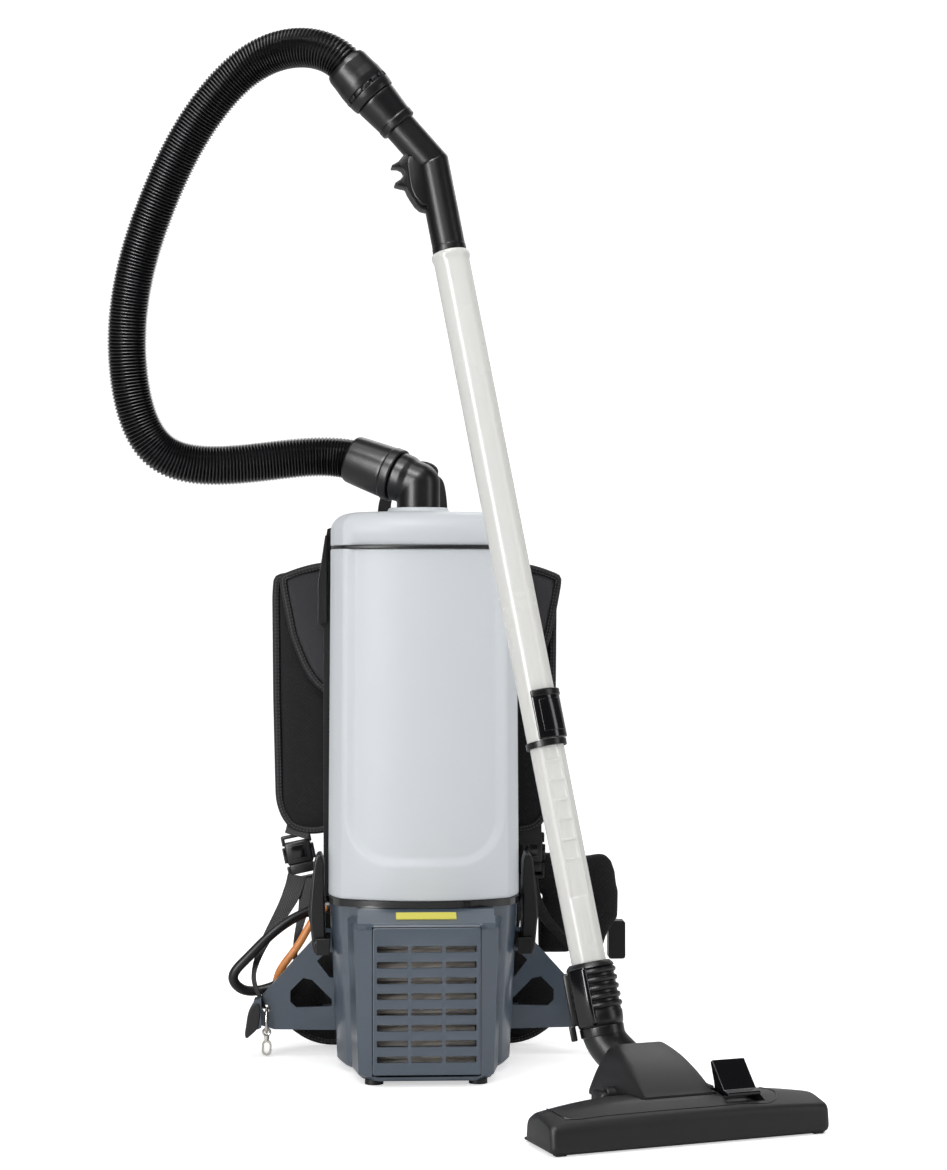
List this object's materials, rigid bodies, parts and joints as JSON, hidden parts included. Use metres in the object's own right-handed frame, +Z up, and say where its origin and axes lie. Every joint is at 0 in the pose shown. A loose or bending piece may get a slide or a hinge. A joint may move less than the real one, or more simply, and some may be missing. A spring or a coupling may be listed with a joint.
{
  "type": "backpack vacuum cleaner",
  "caption": "Backpack vacuum cleaner with an upright canister, padded harness, flexible hose, bent handle, telescopic wand and a floor nozzle.",
  "frame": {"origin": "centre of the base's footprint on the floor", "axes": "+Z up, +Y towards the wearer, -Y outward to the exhaust grille, +X to the viewer's right when facing the grille"},
  "size_m": [0.6604, 0.5698, 1.0226],
  "materials": {
    "light_shell": "satin",
    "slate_plastic": "satin",
    "black_plastic": "satin",
    "black_rubber": "matte",
    "white_tube": "gloss",
    "hose_plastic": "satin",
    "pad_fabric": "woven",
    "webbing": "woven",
    "filter_paper": "matte",
    "bag_paper": "matte",
    "board": "matte",
    "yellow_label": "matte",
    "orange_cord": "satin",
    "steel": "brushed",
    "nickel": "polished",
    "motor_metal": "satin"
  },
  "bodies": {
    "body": {"motor_housing": "slate_plastic", "exhaust_filter": "filter_paper", "filter_frame": "black_plastic", "label_plate": "yellow_label", "foot_pads": "black_rubber", "motor_stator": "motor_metal", "motor_bearings": "steel", "fan_shroud": "black_plastic", "motor_mounts": "black_rubber", "rim_gasket": "black_rubber", "canister": "light_shell", "lid_gasket": "black_rubber", "dust_bag": "bag_paper", "bag_collar": "board", "pre_motor_filter": "filter_paper", "latch_pivots": "black_plastic", "back_plate": "black_plastic", "frame_screws": "steel", "hip_brackets": "slate_plastic", "lumbar_pad": "pad_fabric", "yoke_pad": "pad_fabric", "shoulder_straps": "pad_fabric", "strap_buckle_sockets": "black_plastic", "strap_buckle_prongs": "black_plastic", "strap_tails": "webbing", "waist_wings": "pad_fabric", "switch_housing": "black_plastic", "carry_handle": "webbing", "power_cord": "orange_cord", "cord_loop": "black_rubber", "hook_rings": "nickel"},
    "cover": {"exhaust_cover": "slate_plastic"},
    "rotor": {"motor_rotor": "motor_metal"},
    "left_latch": {"latch_left": "black_plastic"},
    "right_latch": {"latch_right": "black_plastic"},
    "lid": {"lid": "light_shell"},
    "elbow": {"elbow": "black_plastic"},
    "hose": {"hose_cuff_lower": "black_plastic", "hose": "hose_plastic"},
    "hose_end": {"hose_cuff_upper": "black_plastic"},
    "handle": {"handle_pipe": "black_plastic", "outer_tube": "white_tube", "tube_end_ring": "black_plastic", "release_housing": "black_plastic"},
    "slider": {"air_slider": "black_plastic"},
    "button": {"release_button": "black_plastic"},
    "lower_wand": {"inner_tube": "white_tube", "tube_collar": "black_plastic", "parking_clip": "black_plastic"},
    "knuckle": {"nozzle_neck": "black_plastic", "nozzle_knuckle": "black_plastic"},
    "floor_head": {"nozzle_axles": "steel", "nozzle_head": "black_plastic", "sole_plate": "steel"},
    "wheels": {"nozzle_wheels": "black_rubber"},
    "pedal": {"nozzle_pedal": "black_plastic"},
    "brushes": {"brush_strips": "webbing"},
    "rocker": {"switch_rocker": "black_plastic"},
    "hook": {"snap_hook": "nickel"},
    "gate": {"snap_gate": "nickel"}
  },
  "joints": [
    {"name": "cover_hinge", "type": "hinge", "parent": "body", "child": "cover", "pos_m": [0, -0.1195, 0.015], "axis": [1, 0, 0], "range_deg": [0, 75]},
    {"name": "rotor_spin", "type": "hinge", "parent": "body", "child": "rotor", "pos_m": [0, 0.005, 0.08], "axis": [0, 0, 1], "continuous": true},
    {"name": "latch_left_swing", "type": "hinge", "parent": "body", "child": "left_latch", "pos_m": [-0.103, 0, 0.121], "axis": [0, -1, 0], "range_deg": [0, 80]},
    {"name": "latch_right_swing", "type": "hinge", "parent": "body", "child": "right_latch", "pos_m": [0.103, 0, 0.121], "axis": [0, 1, 0], "range_deg": [0, 80]},
    {"name": "lid_lift", "type": "slide", "parent": "body", "child": "lid", "axis": [0, 0, 1], "range_m": [0, 0.045]},
    {"name": "elbow_turn", "type": "hinge", "parent": "lid", "child": "elbow", "pos_m": [-0.005, 0.005, 0.55], "axis": [0, 0, 1], "range_deg": [-10, 40]},
    {"name": "cuff_turn", "type": "hinge", "parent": "elbow", "child": "hose", "pos_m": [-0.02423, 0.01356, 0.58807], "axis": [-0.8585, 0.3822, 0.342], "range_deg": [0, 35]},
    {"name": "hose_flex", "type": "hinge", "parent": "hose", "child": "hose_end", "pos_m": [-0.29, 0, 0.7], "axis": [0, -1, 0], "range_deg": [0, 15], "deforming": ["hose"]},
    {"name": "handle_turn", "type": "hinge", "parent": "hose_end", "child": "handle", "pos_m": [-0.075, -0.088, 0.977], "axis": [0.6662, 0.0022, -0.7458], "range_deg": [-30, 0]},
    {"name": "air_slide", "type": "slide", "parent": "handle", "child": "slider", "axis": [0.1774, -0.1884, -0.9659], "range_m": [0, 0.008]},
    {"name": "release_press", "type": "slide", "parent": "handle", "child": "button", "axis": [-0.4203, 0.873, -0.2475], "range_m": [0, 0.002], "stiffness_N_per_m": 500},
    {"name": "telescope", "type": "slide", "parent": "handle", "child": "lower_wand", "axis": [0.1774, -0.1884, -0.9659], "range_m": [-0.17, 0.18]},
    {"name": "neck_turn", "type": "hinge", "parent": "lower_wand", "child": "knuckle", "pos_m": [0.15423, -0.2448, 0.08067], "axis": [0.1774, -0.1884, -0.9659], "range_deg": [-60, 60]},
    {"name": "head_tilt", "type": "hinge", "parent": "knuckle", "child": "floor_head", "pos_m": [0.19372, -0.29456, 0.029], "axis": [0.9489, 0.3156, 0], "range_deg": [0, 26]},
    {"name": "wheel_spin", "type": "hinge", "parent": "floor_head", "child": "wheels", "pos_m": [0.19372, -0.29456, 0.009], "axis": [0.9489, 0.3156, 0], "continuous": true},
    {"name": "pedal_press", "type": "hinge", "parent": "floor_head", "child": "pedal", "pos_m": [0.26289, -0.32319, 0.034], "axis": [-0.9489, -0.3156, 0], "range_deg": [0, 20]},
    {"name": "brush_lift", "type": "slide", "parent": "floor_head", "child": "brushes", "axis": [0, 0, 1], "range_m": [0, 0.003]},
    {"name": "rocker_press", "type": "hinge", "parent": "body", "child": "rocker", "pos_m": [0.208, 0.148, 0.104], "axis": [1, 0, 0], "range_deg": [-5, 5]},
    {"name": "hook_swivel", "type": "hinge", "parent": "body", "child": "hook", "pos_m": [-0.158, 0.046, 0.018], "axis": [0, 0, 1], "range_deg": [-90, 90]},
    {"name": "gate_swing", "type": "hinge", "parent": "hook", "child": "gate", "pos_m": [-0.1541, 0.046, 0.0081], "axis": [0, -1, 0], "range_deg": [0, 18]}
  ],
  "couplings": [
    {"joint": "brush_lift", "follows": "pedal_press", "m_per_rad": 0.0085858}
  ]
}
